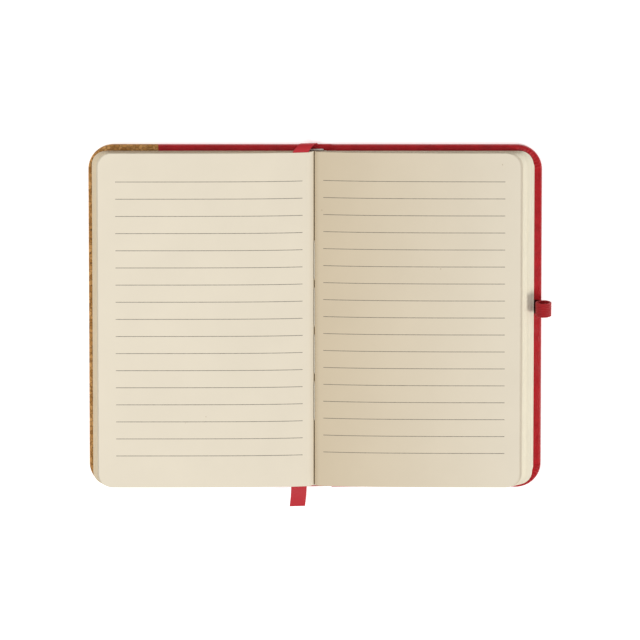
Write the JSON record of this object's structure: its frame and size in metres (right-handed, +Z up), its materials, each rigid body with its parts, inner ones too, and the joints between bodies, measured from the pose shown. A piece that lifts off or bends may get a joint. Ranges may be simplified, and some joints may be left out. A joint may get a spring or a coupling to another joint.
{
  "type": "pocket notebook",
  "caption": "Casebound pocket notebook lying open, with ruled cream leaves, a cork and red soft cover, a ribbon bookmark and an elastic pen loop.",
  "frame": {"origin": "on the surface that the notebook lies on, under the middle of the spine", "axes": "+X across the open notebook from the front cover to the back cover, +Y along the spine to the head, +Z up from the surface"},
  "size_m": [0.1827, 0.1472, 0.0096],
  "materials": {
    "red_covering": "grained soft polyurethane covering",
    "cork": "sealed cork sheet",
    "board": "grey binder's board",
    "ruled_paper": "uncoated cream writing paper with ruled lines",
    "endpaper": "uncoated cream endpaper",
    "lining": "open gauze",
    "band": "rolled white cotton",
    "thread": "waxed linen thread",
    "ribbon": "red satin",
    "elastic": "ribbed red elastic"
  },
  "bodies": {
    "spine": {"spine_skin": "red_covering", "spine_card": "board", "spine_lining": "lining", "headband": "band", "tailband": "band", "sewing_thread": "thread", "ribbon_head": "ribbon", "section_1_back": "ruled_paper", "section_2_back": "ruled_paper", "section_3_back": "ruled_paper", "section_4_back": "ruled_paper", "section_5_back": "ruled_paper"},
    "front_cover": {"front_board": "board", "front_skin": "red_covering", "cork_panel": "cork", "front_pastedown": "endpaper"},
    "back_cover": {"back_board": "board", "back_skin": "red_covering", "back_pastedown": "endpaper", "pen_loop_tail": "elastic"},
    "front_leaves_outer": {"front_flyleaf": "endpaper", "section_1_leaves": "ruled_paper"},
    "front_leaves_middle": {"section_2_leaves": "ruled_paper"},
    "front_leaves_inner": {"section_3_front_leaves": "ruled_paper", "bookmark_ribbon": "ribbon"},
    "back_leaves_outer": {"back_flyleaf": "endpaper", "section_5_leaves": "ruled_paper"},
    "back_leaves_middle": {"section_4_leaves": "ruled_paper"},
    "back_leaves_inner": {"section_3_back_leaves": "ruled_paper"},
    "left_leaf": {"left_page_leaf": "ruled_paper"},
    "right_leaf": {"right_page_leaf": "ruled_paper"},
    "loop": {"pen_loop": "elastic"},
    "ribbon_end": {"ribbon_tail": "ribbon"}
  },
  "joints": [
    {"name": "front_cover_fold", "type": "hinge", "parent": "spine", "child": "front_cover", "pos_m": [-0.005, 0, 0.003], "axis": [0, 1, 0], "range_deg": [0, 90]},
    {"name": "back_cover_fold", "type": "hinge", "parent": "spine", "child": "back_cover", "pos_m": [0.005, 0, 0.003], "axis": [0, -1, 0], "range_deg": [0, 90]},
    {"name": "front_leaves_outer_fold", "type": "hinge", "parent": "spine", "child": "front_leaves_outer", "pos_m": [-0.00473, 0, 0.00327], "axis": [0, 1, 0], "range_deg": [0, 90]},
    {"name": "front_leaves_middle_fold", "type": "hinge", "parent": "spine", "child": "front_leaves_middle", "pos_m": [-0.00429, 0, 0.00371], "axis": [0, 1, 0], "range_deg": [0, 90]},
    {"name": "front_leaves_inner_fold", "type": "hinge", "parent": "spine", "child": "front_leaves_inner", "pos_m": [-0.00396, 0, 0.00404], "axis": [0, 1, 0], "range_deg": [0, 90]},
    {"name": "back_leaves_outer_fold", "type": "hinge", "parent": "spine", "child": "back_leaves_outer", "pos_m": [0.00379, 0, 0.00361], "axis": [0, -1, 0], "range_deg": [0, 90]},
    {"name": "back_leaves_middle_fold", "type": "hinge", "parent": "spine", "child": "back_leaves_middle", "pos_m": [0.0028, 0, 0.0046], "axis": [0, -1, 0], "range_deg": [0, 90]},
    {"name": "back_leaves_inner_fold", "type": "hinge", "parent": "spine", "child": "back_leaves_inner", "pos_m": [0.00205, 0, 0.00535], "axis": [0, -1, 0], "range_deg": [0, 90]},
    {"name": "left_leaf_turn", "type": "hinge", "parent": "front_leaves_inner", "child": "left_leaf", "pos_m": [-0.0003, 0, 0.00772], "axis": [0, -1, 0], "range_deg": [-178, 0]},
    {"name": "right_leaf_turn", "type": "hinge", "parent": "back_leaves_inner", "child": "right_leaf", "pos_m": [-0.0003, 0, 0.00772], "axis": [0, 1, 0], "range_deg": [-178, 0]},
    {"name": "pen_loop_lean", "type": "hinge", "parent": "back_cover", "child": "loop", "pos_m": [0.08945, 0.0042, 0.0026], "axis": [0, 1, 0], "range_deg": [-10, 40], "stiffness_Nm_per_rad": 0.002},
    {"name": "ribbon_tail_flop", "type": "hinge", "parent": "front_leaves_inner", "child": "ribbon_end", "pos_m": [-0.0066, -0.0687, 0.00737], "axis": [-1, 0, 0], "range_deg": [-50, 60]}
  ],
  "couplings": [
    {"joint": "front_leaves_outer_fold", "follows": "front_cover_fold", "ratio": 1},
    {"joint": "front_leaves_middle_fold", "follows": "front_cover_fold", "ratio": 1},
    {"joint": "front_leaves_inner_fold", "follows": "front_cover_fold", "ratio": 1},
    {"joint": "back_leaves_outer_fold", "follows": "back_cover_fold", "ratio": 1},
    {"joint": "back_leaves_middle_fold", "follows": "back_cover_fold", "ratio": 1},
    {"joint": "back_leaves_inner_fold", "follows": "back_cover_fold", "ratio": 1}
  ]
}
